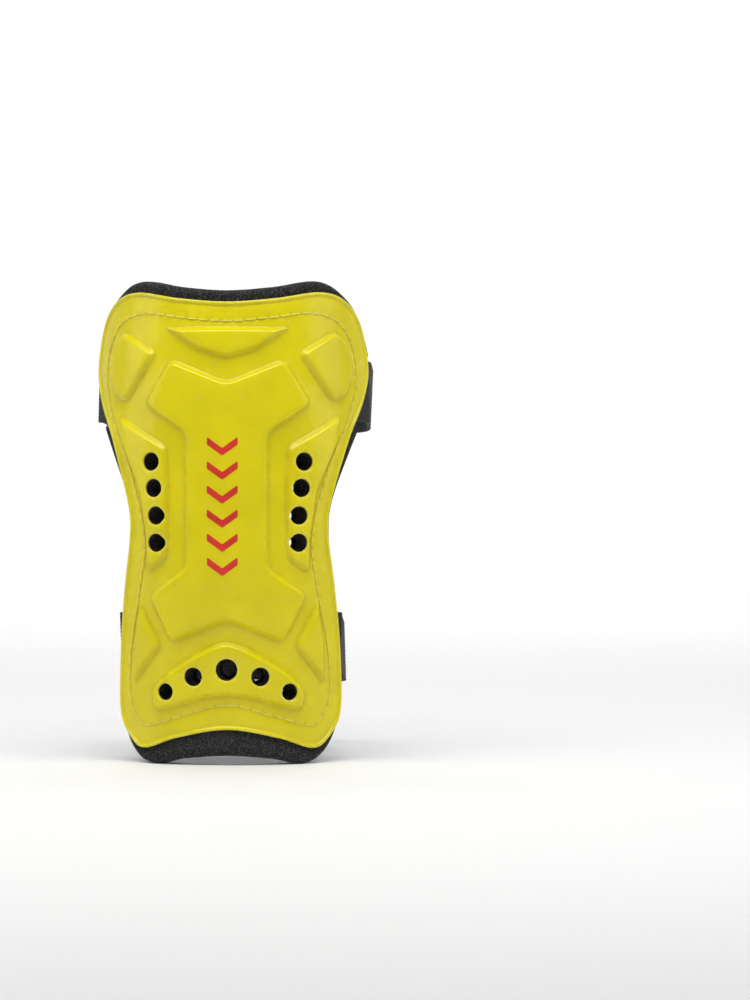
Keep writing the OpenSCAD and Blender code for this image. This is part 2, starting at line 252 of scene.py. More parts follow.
def inside(points, loop):
    """How far each point is inside a closed loop; negative outside."""
    a, b = loop, np.roll(loop, -1, 0)
    result = np.empty(len(points))
    for start in range(0, len(points), 4000):
        p = points[start:start + 4000, None, :]
        ab = b - a
        t = np.clip(((p - a) * ab).sum(2) / np.maximum((ab * ab).sum(1), 1e-12), 0, 1)
        gap = np.sqrt((((p - a) - t[:, :, None] * ab) ** 2).sum(2)).min(1)
        above = (a[:, 1] > p[:, :, 1]) != (b[:, 1] > p[:, :, 1])
        rise = np.where(ab[:, 1] == 0, 1e-12, ab[:, 1])
        crossing = above & (p[:, :, 0] < ab[:, 0] * (p[:, :, 1] - a[:, 1]) / rise + a[:, 0])
        result[start:start + 4000] = np.where(crossing.sum(1) % 2 == 1, gap, -gap)
    return result


def triangulate(edge_loops, feature_loops, extra, fill):
    """Triangles over the flat area inside edge_loops[0] and outside the others.
    Their edges follow every loop, and a loose grid of points at the fill spacing lies between."""
    fixed, edges = list(edge_loops), []
    for loop in edge_loops:
        first = sum(len(x) for x in fixed[:len(edges)])
        edges.append([(first + i, first + (i + 1) % len(loop)) for i in range(len(loop))])
    edges = [pair for group in edges for pair in group]
    count = sum(len(x) for x in edge_loops)
    for loop in feature_loops:
        clear = inside(loop, edge_loops[0]) > 0.3
        for hole in edge_loops[1:]:
            clear &= inside(loop, hole) < -0.3
        index = np.where(clear, count + np.cumsum(clear) - 1, -1)
        pairs = zip(index, np.roll(index, -1))
        edges += [(int(a), int(b)) for a, b in pairs if a >= 0 and b >= 0]
        fixed.append(loop[clear])
        count += int(clear.sum())
    if len(extra):
        fixed.append(extra)
    fixed = np.concatenate(fixed)
    tree = KDTree(len(fixed))
    for i, p in enumerate(fixed):
        tree.insert((p[0], p[1], 0), i)
    tree.balance()
    low, high = edge_loops[0].min(0), edge_loops[0].max(0)
    grid = []
    for j, z in enumerate(np.arange(low[1], high[1], fill * 0.87)):
        for s in np.arange(low[0] + (j % 2) * fill / 2, high[0], fill):
            if tree.find((s, z, 0))[2] > 0.6 * fill:
                grid.append((s, z))
    points = np.concatenate([fixed, np.array(grid)])
    verts, _, faces, origins, _, _ = delaunay_2d_cdt([Vector(p) for p in points], edges, [], 0, 1e-6)
    verts = np.array([tuple(v) for v in verts])
    place = {k: i for i, group in enumerate(origins) for k in group}
    tris = np.array([f for f in faces if len(f) == 3])
    middle = verts[tris].mean(1)
    keep = inside(middle, edge_loops[0]) > 0
    for hole in edge_loops[1:]:
        keep &= inside(middle, hole) < 0
    rings, first = [], 0
    for loop in edge_loops:
        rings.append(np.array([place[first + i] for i in range(len(loop))]))
        first += len(loop)
    return verts, tris[keep], rings


# ---------------------------------------------------------------------------
# Meshes


class Build:
    """Collects vertices, faces and per-vertex values, and makes one mesh object of them."""

    def __init__(self):
        self.points, self.faces, self.values, self.count = [], [], {}, 0

    def add(self, points, faces=(), **values):
        points = np.asarray(points, float)
        first = self.count
        self.points.append(points)
        self.faces += [[first + int(k) for k in f] for f in faces]
        for name, value in values.items():
            store = self.values.setdefault(name, [])
            store.append((first, np.broadcast_to(np.asarray(value, float), (len(points),))))
        self.count += len(points)
        return first

    def strip(self, a, b, n):
        """Quads between two rings of n vertices that start at a and b."""
        self.faces += [[a + i, a + (i + 1) % n, b + (i + 1) % n, b + i] for i in range(n)]

    def make(self, name, material, smooth=True):
        mesh = bpy.data.meshes.new(name)
        mesh.from_pydata((np.concatenate(self.points) * MM).tolist(), [], self.faces)
        for key, parts in self.values.items():
            data = np.zeros(self.count, np.float32)
            for first, value in parts:
                data[first:first + len(value)] = value
            mesh.attributes.new(key, "FLOAT", "POINT").data.foreach_set("value", data)
        bm = bmesh.new()
        bm.from_mesh(mesh)
        bmesh.ops.recalc_face_normals(bm, faces=bm.faces)
        bm.to_mesh(mesh)
        bm.free()
        if smooth:
            mesh.shade_smooth()
        obj = bpy.data.objects.new(name, mesh)
        bpy.context.scene.collection.objects.link(obj)
        obj.data.materials.append(material)
        return obj


def sheet_piece(edge_rows, hole_rows, features, extra, fill, outer, inner, marks=None):
    """A closed sheet with holes. Each row is (outline, share of the way from the outer to the inner
    face), from the edge of the outer face round to the edge of the inner face."""
    loops = [edge_rows[0][0]] + [rows[0][0] for rows in hole_rows]
    flat, tris, rings = triangulate(loops, features, extra, fill)
    build = Build()
    extra_values = marks(flat) if marks else {}
    top = build.add(on_sheet(flat, outer(flat)), tris, su=flat[:, 0], sv=flat[:, 1], **extra_values)
    bottom = build.add(on_sheet(flat, inner(flat)), tris[:, ::-1], su=flat[:, 0], sv=flat[:, 1])
    for rows, ring in zip([edge_rows] + hole_rows, rings):
        n = len(ring)
        from_out, from_in = outer(rows[0][0]), inner(rows[0][0])
        last = top + ring
        for outline, share in rows[1:-1]:
            out = from_out + (from_in - from_out) * share
            first = build.add(on_sheet(outline, out), su=outline[:, 0], sv=outline[:, 1])
            this = first + np.arange(n)
            build.faces += [[int(last[i]), int(last[(i + 1) % n]), int(this[(i + 1) % n]), int(this[i])]
                            for i in range(n)]
            last = this
        this = bottom + ring
        build.faces += [[int(last[i]), int(last[(i + 1) % n]), int(this[(i + 1) % n]), int(this[i])]
                            for i in range(n)]
    return build


def tube(build, path, radius, sides=8, **values):
    """A round-ended tube along a short path of points."""
    path = np.asarray(path, float)
    run = np.gradient(path, axis=0)
    run /= np.linalg.norm(run, axis=1)[:, None]
    up = np.cross(run, [0.31, 0.17, 0.93])
    up /= np.linalg.norm(up, axis=1)[:, None]
    side = np.cross(run, up)
    radius = np.broadcast_to(radius, (len(path),))
    angle = np.arange(sides) * 2 * math.pi / sides
    first = None
    for p, u, v, r in zip(path, up, side, radius):
        at = build.add(p + r * (np.cos(angle)[:, None] * u + np.sin(angle)[:, None] * v), **values)
        if first is None:
            first = at
            build.faces.append([at + i for i in range(sides)])
        else:
            build.strip(last, at, sides)
        last = at
    build.faces.append([last + i for i in reversed(range(sides))])


# ---------------------------------------------------------------------------
# Materials


class Look:
    """A material made of nodes around one Principled BSDF."""

    def __init__(self, name, **constants):
        self.material = bpy.data.materials.new(name)
        self.material.use_nodes = True
        self.nodes = self.material.node_tree.nodes
        self.links = self.material.node_tree.links
        self.skin = self.nodes["Principled BSDF"]
        for key, value in constants.items():
            self.skin.inputs[key.replace("_", " ")].default_value = value

    def feed(self, node, key, value):
        if isinstance(value, bpy.types.NodeSocket):
            self.links.new(value, node.inputs[key])
        else:
            node.inputs[key].default_value = value

    def node(self, kind, inputs, **settings):
        node = self.nodes.new("ShaderNode" + kind)
        for key, value in settings.items():
            setattr(node, key, value)
        for key, value in inputs.items():
            self.feed(node, key, value)
        return node

    def value(self, name):
        return self.node("Attribute", {}, attribute_name=name).outputs["Fac"]

    def calc(self, operation, *values):
        return self.node("Math", dict(enumerate(values)), operation=operation).outputs[0]

    def place(self, across, along, stretch=(1.0, 1.0)):
        """Texture coordinates, in millimetres, from two stored values."""
        x = self.calc("MULTIPLY", self.value(across), stretch[0])
        y = self.calc("MULTIPLY", self.value(along), stretch[1])
        return self.node("CombineXYZ", {"X": x, "Y": y}).outputs[0]

    def rest_place(self):
        return self.node("TexCoord", {}).outputs["Object"]

    def mix(self, share, a, b):
        return self.node("Mix", {0: share, 6: a, 7: b}, data_type="RGBA").outputs[2]

    def ramp(self, value, low, high, start=0.0, end=1.0):
        inputs = {"Value": value, "From Min": low, "From Max": high, "To Min": start, "To Max": end}
        return self.node("MapRange", inputs, interpolation_type="SMOOTHSTEP").outputs[0]

    def noise(self, where, scale, detail=2.0):
        return self.node("TexNoise", {"Vector": where, "Scale": scale, "Detail": detail}).outputs["Fac"]

    def cells(self, where, scale):
        return self.node("TexVoronoi", {"Vector": where, "Scale": scale}).outputs["Distance"]

    def ripple(self, value, pitch):
        """A wave from 0 to 1 as the value runs on."""
        return self.ramp(self.calc("SINE", self.calc("MULTIPLY", value, 2 * math.pi / pitch)), -1.0, 1.0)

    def bump(self, height, depth, strength=1.0, under=None):
        inputs = {"Height": height, "Distance": depth * MM, "Strength": strength}
        if under is not None:
            inputs["Normal"] = under
        return self.node("Bump", inputs).outputs[0]

    def finish(self, colour, roughness, normal):
        for key, value in (("Base Color", colour), ("Roughness", roughness), ("Normal", normal)):
            self.feed(self.skin, key, value)
        return self.material


def shade(colour, factor=1.0, white=0.0):
    return (*(min(1.0, c * factor + white) for c in colour[:3]), 1.0)


def shell_look(colour):
    look = Look("shell_sheet", Coat_Weight=0.15, Coat_Roughness=0.05, Specular_IOR_Level=0.32)
    where = look.place("su", "sv")
    panel, rim = look.value("panel"), look.value("rim")
    tint = look.mix(look.ramp(look.noise(where, 0.05), 0.3, 0.7), shade(colour, 0.94), shade(colour, 1.03))
    # Painted crease shade, partly dust: near the panels' feet the yellow turns darker and browner, broken by
    # noise.
    foot = look.ramp(look.calc("ABSOLUTE", look.calc("ADD", panel, 0.15)), 0.0, 1.1, 1.0, 0.0)
    crease_shade_and_dust = look.calc("MULTIPLY", foot, look.ramp(look.noise(where, 0.35, 4.0), 0.25, 0.75, 0.1, 0.4))
    tint = look.mix(crease_shade_and_dust, tint, (colour[0] * 0.55, colour[1] * 0.45, colour[2], 1.0))
    worn = look.calc("MULTIPLY", look.ramp(rim, 0.1, 1.5, 0.5, 0.0),
                     look.ramp(look.noise(where, 0.8, 3.0), 0.35, 0.65))
    tint = look.mix(worn, tint, shade(colour, 1.0, 0.14))
    # Painted shade: the needle holes are painted near black for the shade inside them.
    tint = look.mix(look.value("needle_dip_and_shade"), tint, (0.01, 0.008, 0.002, 1.0))
    scratch = look.ramp(look.noise(look.place("su", "sv", (0.9, 0.07)), 2.2, 3.0), 0.62, 0.68)
    smear = look.ramp(look.noise(where, 0.12, 4.0), 0.35, 0.7, 0.16, 0.3)
    roughness = look.calc("ADD", look.calc("ADD", smear, look.calc("MULTIPLY", scratch, 0.12)),
                          look.calc("MULTIPLY", foot, 0.15))
    fine = look.bump(look.noise(where, 1.1), 0.012, 0.7)
    normal = look.bump(look.calc("SUBTRACT", 1.0, scratch), 0.01, 0.3, fine)
    return look.finish(tint, roughness, normal)


def foam_look():
    look = Look("foam", Sheen_Weight=0.02, Sheen_Roughness=0.5, Specular_IOR_Level=0.15)
    where = look.rest_place()
    cells = look.cells(where, 1500.0)
    fleck = look.ramp(look.noise(where, 2100.0, 2.0), 0.48, 0.7)
    cloud = look.ramp(look.noise(where, 60.0), 0.3, 0.7)
    tint = look.mix(cloud, (0.008, 0.008, 0.008, 1), (0.014, 0.014, 0.014, 1))
    tint = look.mix(fleck, tint, (0.085, 0.085, 0.086, 1))
    roughness = look.ramp(cells, 0.0, 0.7, 0.92, 0.7)
    normal = look.bump(look.noise(where, 400.0, 4.0), 0.25, 0.5, look.bump(cells, 0.2, 0.8))
    return look.finish(tint, roughness, normal)


def knit_look():
    look = Look("lining_knit", Sheen_Weight=0.4, Sheen_Roughness=0.4)
    across = look.ripple(look.value("su"), 1.3)
    zigzag = look.calc("ADD", look.value("sv"), look.calc("MULTIPLY", across, 0.55))
    rows = look.ripple(zigzag, 1.0)
    yarn = look.calc("MULTIPLY", across, rows)
    where = look.place("su", "sv")
    tint = look.mix(look.ramp(look.noise(where, 0.08, 3.0), 0.3, 0.7),
                    (0.02, 0.02, 0.022, 1), (0.034, 0.034, 0.037, 1))
    tint = look.mix(look.calc("MULTIPLY", yarn, 0.5), tint, (0.075, 0.075, 0.08, 1))
    fuzz = look.noise(where, 7.0, 4.0)
    normal = look.bump(fuzz, 0.06, 0.5, look.bump(yarn, 0.3, 0.9))
    return look.finish(tint, look.ramp(yarn, 0.0, 1.0, 0.95, 0.75), normal)


def elastic_look():
    look = Look("elastic", Sheen_Weight=0.04, Sheen_Roughness=0.35, Specular_IOR_Level=0.25)
    run, across = look.value("run"), look.value("across")
    rib = look.value("rib")
    plait = look.ripple(look.calc("ADD", run, look.calc("MULTIPLY", look.ripple(across, 2.94), 0.5)), 1.05)
    where = look.place("run", "across")
    # Painted shade: the valleys between the cords are painted darker than the cord tops.
    tint = look.mix(rib, (0.004, 0.004, 0.004, 1), (0.016, 0.016, 0.0165, 1))
    tint = look.mix(look.calc("MULTIPLY", plait, 0.45), tint, (0.035, 0.035, 0.036, 1))
    tint = look.mix(look.ramp(look.noise(where, 0.9, 4.0), 0.5, 0.8, 0.0, 0.4), tint,
                    (0.012, 0.012, 0.013, 1))
    fuzz = look.noise(look.place("run", "across", (1.0, 4.0)), 6.0, 3.0)
    normal = look.bump(fuzz, 0.05, 0.5, look.bump(plait, 0.16, 0.8))
    return look.finish(tint, look.ramp(plait, 0.0, 1.0, 0.85, 0.62), normal)


def tape_look(name, colour, pitch):
    look = Look(name, Sheen_Weight=0.3, Sheen_Roughness=0.4)
    run, across = look.value("run"), look.value("across")
    grid = look.calc("MULTIPLY", look.ripple(run, pitch), look.ripple(across, pitch * 0.8))
    where = look.rest_place()
    speckle = look.ramp(look.noise(where, 900.0, 4.0), 0.35, 0.7)
    tint = look.mix(speckle, shade(colour, 0.6), shade(colour, 1.5))
    tint = look.mix(look.ramp(look.noise(where, 90.0, 3.0), 0.3, 0.8, 0.0, 0.4), tint, shade(colour, 0.5))
    normal = look.bump(speckle, 0.12, 0.7, look.bump(grid, 0.15, 0.8))
    return look.finish(tint, look.ramp(speckle, 0.0, 1.0, 0.9, 0.7), normal)


def thread_look(name, colour):
    look = Look(name, Sheen_Weight=0.3, Sheen_Roughness=0.3)
    where = look.rest_place()
    lean = look.node("VectorMath", {0: where, 1: (1800.0, 900.0, 2400.0)}, operation="MULTIPLY").outputs[0]
    ply = look.node("TexWave", {"Vector": lean, "Scale": 0.5, "Distortion": 2.0, "Detail": 2.0},
                    wave_type="BANDS", bands_direction="DIAGONAL").outputs["Fac"]
    tint = look.mix(look.ramp(ply, 0.1, 0.8), shade(colour, 0.75), shade(colour, 1.2))
    tint = look.mix(look.ramp(look.noise(where, 250.0), 0.4, 0.8, 0.0, 0.4), tint, shade(colour, 0.7))
    normal = look.bump(look.noise(where, 4000.0, 2.0), 0.03, 0.5, look.bump(ply, 0.1, 0.8))
    return look.finish(tint, look.ramp(ply, 0.0, 1.0, 0.7, 0.45), normal)


def ink_look(colour):
    look = Look("red_ink", Coat_Weight=0.2, Coat_Roughness=0.1)
    where = look.rest_place()
    grain = look.noise(where, 2500.0, 3.0)
    rubbed = look.ramp(look.noise(where, 500.0, 5.0), 0.68, 0.8, 0.0, 0.6)
    tint = look.mix(look.ramp(look.noise(where, 120.0), 0.3, 0.7), shade(colour, 0.85), shade(colour, 1.1))
    tint = look.mix(rubbed, tint, shade(colour, 0.5))
    return look.finish(tint, look.ramp(grain, 0.3, 0.7, 0.3, 0.45), look.bump(grain, 0.02, 0.5))


def floor_look(colour):
    look = Look("pale_floor")
    where = look.rest_place()
    tint = look.mix(look.noise(where, 3.0), shade(colour, 0.99), shade(colour))
    return look.finish(tint, look.ramp(look.noise(where, 20.0), 0.0, 1.0, 0.75, 0.85),
                       look.bump(look.noise(where, 300.0), 0.02, 0.2))


# ---------------------------------------------------------------------------
# The moulded shell

PANEL_H = 2.0
PANEL_BEVEL = 1.6
PANEL_CORNER = 3.0
BEVEL_SOFT = 0.8
STITCH_PITCH = 4.9
NEEDLE_R = 0.5


def panel_outlines():
    half = [CORNER_PANEL, SIDE_PANEL, LOW_PANEL]
    whole = [np.array(TOP_PANEL, float), mirrored(MAIN_HALF), mirrored(BOTTOM_HALF)]
    return whole + [np.array(p, float) for p in half] + [flipped(p) for p in half]


def vents():
    return [MIDDLE_VENT] + [(side * s, z, r) for s, z, r in VENTS for side in (-1, 1)]


def soft_step(x):
    x = np.clip(x, 0, 1)
    return x * x * (3 - 2 * x)


def bevel_height(d):
    """Height of a raised panel at a distance d inside its foot line."""
    width = PANEL_BEVEL + BEVEL_SOFT
    slope = PANEL_H / (width - BEVEL_SOFT)
    x = np.clip(d + BEVEL_SOFT / 2, 0, width)
    start = slope * x * x / (2 * BEVEL_SOFT)
    end = PANEL_H - slope * (width - x) ** 2 / (2 * BEVEL_SOFT)
    return np.where(x < BEVEL_SOFT, start,
                    np.where(x < width - BEVEL_SOFT, slope * (x - BEVEL_SOFT / 2), end))


def panel_depth(points, loops):
    """How far each point is inside the nearest panel, down to -3 away from them all."""
    depth = np.full(len(points), -3.0)
    for loop in loops:
        low, high = loop.min(0) - 3, loop.max(0) + 3
        near = ((points > low) & (points < high)).all(1)
        if near.any():
            depth[near] = np.maximum(depth[near], inside(points[near], loop))
    return depth


def seam_points(offsets):
    """For each stitch, points of the seam at the given distances from its middle."""
    seam = smooth_curve(mirrored(SEAM_HALF), 40)
    ring = np.vstack([seam, seam[:1]])
    along = np.concatenate([[0], np.cumsum(np.linalg.norm(np.diff(ring, axis=0), axis=1))])
    count = round(along[-1] / STITCH_PITCH)
    at = (np.arange(count) * along[-1] / count)[:, None] + np.asarray(offsets)[None, :]
    at %= along[-1]
    return np.stack([np.interp(at, along, ring[:, k]) for k in (0, 1)], 2)


def make_shell(settings, look):
    bead = settings.rim_bead / MM
    panels = [rounded_outline(p, PANEL_CORNER, 0.0, 0.3) for p in panel_outlines()]
    outline = even(smooth_curve(mirrored(SHELL_HALF)), 1.0)
    needles = seam_points([STITCH_PITCH / 2]).reshape(-1, 2)

    # Falloff round each needle hole: it sinks the surface into a dimple and, through the marks, paints the
    # hole's shade near black.
    def needle_dip_and_shade(points):
        gap = np.sqrt(((points[:, None] - needles[None]) ** 2).sum(2)).min(1)
        return 1 - soft_step(gap / NEEDLE_R)

    def body(points):
        rim = inside(points, outline)
        roll = bead * (1 - soft_step((rim - 0.95) / 0.6)) - 0.4 * bead * np.exp(-(((rim - 1.75) / 0.3) ** 2))
        return bevel_height(panel_depth(points, panels)) + roll

    def outer(points):
        dip = sum(soft_step(1 - (np.hypot(points[:, 0] - s, points[:, 1] - z) - r) / 1.1)
                  for s, z, r in vents())
        return body(points) - 0.5 * needle_dip_and_shade(points) - 0.22 * dip

    def marks(points):
        rim = inside(points, outline)
        for s, z, r in vents():
            rim = np.minimum(rim, np.hypot(points[:, 0] - s, points[:, 1] - z) - r)
        # The needle mark carries painted shade into the shell's colour: near black in the needle holes.
        return dict(panel=panel_depth(points, panels), rim=rim, needle_dip_and_shade=np.clip(1.6 * needle_dip_and_shade(points), 0, 1))

    edge = [(moved_in(outline, d), share) for d, share in
            ((0.45, 0.0), (0.13, 0.1), (0.0, 0.33), (0.0, 0.67), (0.13, 0.9), (0.45, 1.0))]
    holes = [[(circle(s, z, r + d, 32), share) for d, share in
              ((0.35, 0.0), (0.08, 0.1), (0.0, 0.3), (0.0, 0.8), (0.1, 1.0))] for s, z, r in vents()]
    features = [rounded_outline(p, PANEL_CORNER, d, 0.9)
                for p in panel_outlines() for d in (-0.4, 0, 0.4, 1.2, 1.6, 2)]
    features += [moved_in(outline, d) for d in (0.7, 0.95, 1.25, 1.5, 1.75, 2.1)]
    features += [circle(s, z, r + d, 32) for s, z, r in vents() for d in (0.7, 1.1)]
    extra = [needles]
    for radius, count in ((0.2, 6), (0.36, 8), (0.52, 10)):
        extra.append((needles[:, None] + circle(0, 0, radius, count)[None]).reshape(-1, 2))
    build = sheet_piece(edge, holes, features, np.concatenate(extra), 1.9, outer,
                        lambda p: body(p) - SHELL_T, marks)
    piece = build.make("moulded_shell", look)
    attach(piece, "guard")
    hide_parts("hard_shell")
    return piece


def make_print(look):
    """Six chevrons of ink on the middle panel."""
    build = Build()
    s, top, pitch, half, stroke, point = -1.4, 29.9, 9.4, 5.9, 3.0, 4.4
    for k in range(6):
        z = top - pitch * k
        tip = z - point
        corners = [(s - half, z + stroke / 2), (s - half, z - stroke / 2), (s, tip - stroke / 2),
                   (s + half, z - stroke / 2), (s + half, z + stroke / 2), (s, tip + stroke / 2)]
        base = rounded_outline(corners, 0.35, 0.0, 0.3)
        rows = [(moved_in(base, 0.08), 0.0), (base, 0.5), (base, 1.0)]
        one = sheet_piece(rows, [], [], np.zeros((0, 2)), 1.2,
                          lambda p: np.full(len(p), PANEL_H + 0.12), lambda p: np.full(len(p), PANEL_H - 0.1))
        first = build.add(np.concatenate(one.points))
        build.faces += [[first + i for i in f] for f in one.faces]
    piece = build.make("front_chevrons", look, smooth=False)
    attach(piece, "guard")
    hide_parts("front_print")
    return piece


# ---------------------------------------------------------------------------
# The pad, the lining and the seam

SEAM_DIP = 1.1
SEAT_DEPTH = STRAP_T + 0.8


def seam_dip(points):
    """How far the seam pulls the soft layers in towards the shell."""
    gap = np.abs(inside(points, even(smooth_curve(mirrored(SEAM_HALF)), 1.2)))
    return SEAM_DIP * np.exp(-((gap / 1.7) ** 2))


def strap_seats(points):
    """Depth of the places in the foam where the straps' sewn-in ends lie."""
    depth = np.zeros(len(points))
    for loop in LOOPS.values():
        across = soft_step((STRAP_W / 2 + 1.6 - np.abs(points[:, 1] - loop["z"])) / 1.2)
        depth += SEAT_DEPTH * across * soft_step(np.abs(points[:, 0]) - loop["sewn"] + 1.6)
    return depth


def make_foam(settings, look):
    outline = even(smooth_curve(mirrored(FOAM_HALF)), 1.1)
    shell = even(smooth_curve(mirrored(SHELL_HALF)), 1.0)

    def outer(points):
        beyond = -inside(points, shell)
        return -SHELL_T + settings.foam_puff / MM * soft_step((beyond - 0.6) / 2.6) - strap_seats(points)

    edge = [(moved_in(outline, d), share) for d, share in
            ((2.2, 0.0), (1.1, 0.03), (0.4, 0.1), (0.06, 0.22), (0.0, 0.38), (0.0, 0.62), (0.06, 0.78),
             (0.4, 0.9), (1.1, 0.97), (2.2, 1.0))]
    holes = [[(circle(s, z, r + d), share) for d, share in
              ((0.5, 0.0), (0.15, 0.03), (0.0, 0.09), (-0.1, 0.9), (0.1, 0.97), (0.5, 1.0))]
             for s, z, r in vents()]
    seam = even(smooth_curve(mirrored(SEAM_HALF)), 1.2)
    features = [seam, moved_in(seam, 1.2), moved_in(seam, -1.2), moved_in(outline, 3.2)]
    build = sheet_piece(edge, holes, features, np.zeros((0, 2)), 1.7, outer,
                        lambda p: -SHELL_T - FOAM_T + seam_dip(p))
    piece = build.make("foam_sheet", look)
    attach(piece, "guard")
    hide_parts("foam_pad")
    return piece


def make_lining(look):
    outline = moved_in(even(smooth_curve(mirrored(FOAM_HALF)), 1.1), 0.8)
    skin = -SHELL_T - FOAM_T
    edge = [(moved_in(outline, d), share) for d, share in
            ((0.6, 0.0), (0.15, 0.15), (0.0, 0.5), (0.15, 0.85), (0.6, 1.0))]
    holes = [[(circle(s, z, r + d), share) for d, share in
              ((-1.3, 0.0), (-1.6, 0.3), (-1.6, 0.7), (-1.3, 1.0))] for s, z, r in vents()]
    seam = even(smooth_curve(mirrored(SEAM_HALF)), 1.2)
    features = [seam, moved_in(seam, 1.2), moved_in(seam, -1.2), moved_in(seam, 2.4), moved_in(seam, -2.4)]
    build = sheet_piece(edge, holes, features, np.zeros((0, 2)), 1.7,
                        lambda p: skin + 0.85 * seam_dip(p) - 0.03,
                        lambda p: skin - LINING_T + seam_dip(p))
    piece = build.make("knit_lining", look)
    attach(piece, "guard")
    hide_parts("lining")
    return piece


def make_seam(look):
    """One short thread per stitch over the shell, and one on the skin side."""
    build = Build()
    run = np.array([-2.3, -2.2, -1.95, -1.2, 0.0, 1.2, 1.95, 2.2, 2.3])
    over = np.array([-0.6, -0.12, 0.12, 0.24, 0.26, 0.24, 0.12, -0.12, -0.6])
    under = np.array([0.5, 0.1, -0.1, -0.2, -0.22, -0.2, -0.1, 0.1, 0.5])
    rng = np.random.default_rng(7)
    skin = -SHELL_T - FOAM_T - LINING_T + SEAM_DIP
    bow = 1 - (run / run[-1]) ** 2
    for top, back in zip(seam_points(run), seam_points(run + STITCH_PITCH / 2)):
        lean = np.array([[0, rng.uniform(-0.1, 0.1)]]) * bow[:, None]
        tube(build, on_sheet(top + lean, over * rng.uniform(0.92, 1.08)), 0.24, 8)
        tube(build, on_sheet(back, skin + under), 0.22, 6)
    piece = build.make("edge_seam", look)
    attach(piece, "guard")
    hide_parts("edge_stitching")
    return piece


# ---------------------------------------------------------------------------
# The straps


def strap_line(loop, layer, end_x):
    """A right-hand strap's line seen from above.

    Each row is x, y, outward x, outward y and the share of it on the shell's sheet."""
    strap_r = float(face_radius(loop["z"])) - SHELL_T - STRAP_T / 2
    hinge = loop["hinge"] / FACE_R
    rows = []

    def arc(cx, cy, r, start, end, on_shell):
        """Angles run from the front, -Y, round to +X."""
        steps = max(2, int(abs(end - start) * r / 1.2) + 1)
        for k in range(steps):
            t = start + (end - start) * k / steps
            n = (math.sin(t), -math.cos(t))
            fade = on_shell * (1 - k / steps) if on_shell < 1 else 1.0
            rows.append((cx + r * n[0], cy + r * n[1], n[0], n[1], fade))

    arc(0, 0, strap_r, loop["sewn"] / FACE_R, hinge, 1.0)
    bend, corner = loop["bend"], loop["corner"]
    cx, cy = (strap_r - bend) * math.sin(hinge), -(strap_r - bend) * math.cos(hinge)
    arc(cx, cy, bend, hinge, math.pi / 2, 0.999)
    side_x = cx + bend
    back_y = loop["back"] - BACK_R
    reach = BACK_R + layer - corner
    tilt = math.asin((side_x - corner) / reach)
    elbow_y = back_y + reach * math.cos(tilt)
    steps = max(1, int((elbow_y - cy) / 1.5))
    rows += [(side_x, cy + (elbow_y - cy) * k / steps, 1.0, 0.0, 0.0) for k in range(steps)]
    arc(side_x - corner, elbow_y, corner, math.pi / 2, math.pi - tilt, 0.0)
    back = BACK_R + layer
    arc(0, back_y, back, math.pi - tilt, math.pi - math.asin(end_x / back), 0.0)
    last = math.asin(end_x / back)
    rows.append((end_x, back_y + back * math.cos(last), math.sin(last), math.cos(last), 0.0))
    return np.array(rows), side_x


def sag(loop, y):
    """How far a loop hangs below its hinges at a distance y back."""
    start = hinge_y(loop) + SAG_START
    return loop["drop"] * soft_step((y - start) / (loop["back"] - SAG_END - start))


def band(build, line, loop, section, side_x=0.0, width=None, mirror=1.0):
    """Sweeps a strap's cross-section, rows of [across, out, rib], along its line."""
    z = loop["z"]
    run = np.concatenate([[0], np.cumsum(np.linalg.norm(np.diff(line[:, :2], axis=0), axis=1))])
    n = len(section)
    middle_r = float(face_radius(z))
    for i, (x, y, nx, ny, on_shell) in enumerate(line):
        share = width(run[-1] - run[i]) if width else 1.0
        w, out = section[:, 0] * share, section[:, 1]
        on_shell = float(soft_step(on_shell))
        shift = (face_radius(z + w) - middle_r) * on_shell
        slant = 1 + (loop["lean"] * w - loop["slack"]) / side_x * (1 - on_shell) if side_x else 1.0
        points = np.stack([mirror * (x + nx * (out + shift)) * slant,
                           y + ny * (out + shift), z - sag(loop, y) + w], 1)
        first = build.add(points, run=run[i], across=w, rib=section[:, 2])
        if i == 0:
            start = first
        else:
            build.strip(last, first, n)
        last = first
    for at in (start, last):
        half = n // 2
        build.faces += [[at + i, at + i + 1, at + n - 2 - i, at + n - 1 - i] for i in range(half - 1)]


def ribbed_section():
    """A woven elastic's cross-section: cords along it, between two flat edges."""
    pitch = STRAP_W / 17
    w = np.linspace(-STRAP_W / 2 + 0.12, STRAP_W / 2 - 0.12, 17 * 6 + 1)
    cord = np.abs(np.cos(math.pi * (w / pitch)))
    edge = soft_step((STRAP_W / 2 - np.abs(w)) / 0.55)
    half = STRAP_T / 2 * (0.66 + 0.34 * cord**0.6) * (0.35 + 0.65 * edge)
    top, low = np.stack([w, half, cord], 1), np.stack([w, -half, cord], 1)[::-1]
    return np.concatenate([top, low])


def flat_section(thick, shift=0.0):
    w = np.array([-12.5, -12.4, -12.1, *np.linspace(-11.5, 11.5, 12), 12.1, 12.4, 12.5])
    half = thick / 2 * np.array([0.35, 0.75, 0.96, *([1.0] * 12), 0.96, 0.75, 0.35])
    ones = np.ones(len(w))
    top, low = np.stack([w, shift + half, ones], 1), np.stack([w, shift - half, ones], 1)[::-1]
    return np.concatenate([top, low])


def back_line(loop, layer, start_x, end_x, pitch=1.2):
    back = BACK_R + layer
    x = np.linspace(start_x, end_x, int(abs(end_x - start_x) / pitch) + 2)
    angle = np.arcsin(x / back)
    y = loop["back"] - BACK_R + back * np.cos(angle)
    return np.stack([x, y, np.sin(angle), np.cos(angle), 0 * x], 1)


